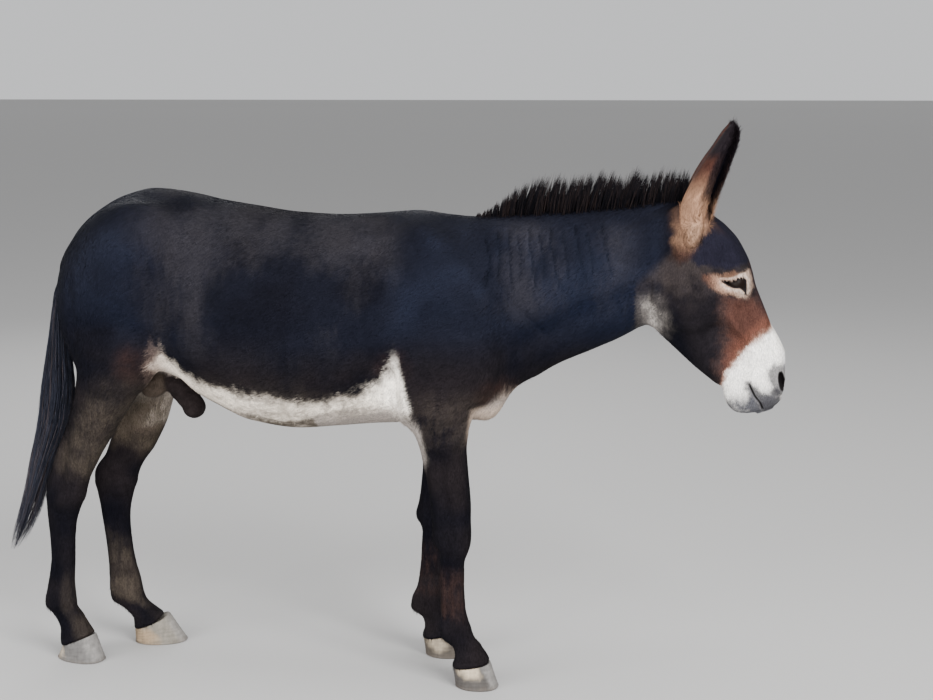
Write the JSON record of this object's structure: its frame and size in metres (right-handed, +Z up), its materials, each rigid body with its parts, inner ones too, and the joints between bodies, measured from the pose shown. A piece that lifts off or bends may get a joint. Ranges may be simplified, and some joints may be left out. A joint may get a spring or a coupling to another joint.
{
  "type": "donkey, life-size still model",
  "caption": "Life-size standing donkey with long upright ears, a short upright mane, pale muzzle and belly, and a long tail; a still display model that rests on flat hooves.",
  "frame": {"origin": "on the floor under the middle of the bounding box", "axes": "+X towards the head, +Y to the donkey's left, +Z up"},
  "size_m": [1.9605, 0.4364, 1.3674],
  "materials": {
    "coat": "short glossy black-brown hair with pale muzzle, eye rings and belly",
    "ear": "short tan hair with black rim and tip",
    "long_hair": "coarse black mane and tail hair",
    "bare_skin": "bare dark skin, softly wrinkled, satin",
    "hoof": "grey-tan horn with growth rings, dusty and dull",
    "eye": "dark brown, wet and glossy"
  },
  "bodies": {
    "root": {"trunk": "coat", "neck": "coat", "head": "coat", "eye_left": "eye", "eye_right": "eye", "ear_left": "ear", "ear_right": "ear", "fore_right_upper_leg": "coat", "fore_right_lower_leg": "coat", "fore_right_hoof": "hoof", "fore_left_upper_leg": "coat", "fore_left_lower_leg": "coat", "fore_left_hoof": "hoof", "hind_right_upper_leg": "coat", "hind_right_lower_leg": "coat", "hind_right_hoof": "hoof", "hind_left_upper_leg": "coat", "hind_left_lower_leg": "coat", "hind_left_hoof": "hoof", "tail_dock": "coat", "tail_switch": "long_hair", "mane": "long_hair", "sheath": "bare_skin", "scrotum": "bare_skin"}
  },
  "joints": []
}
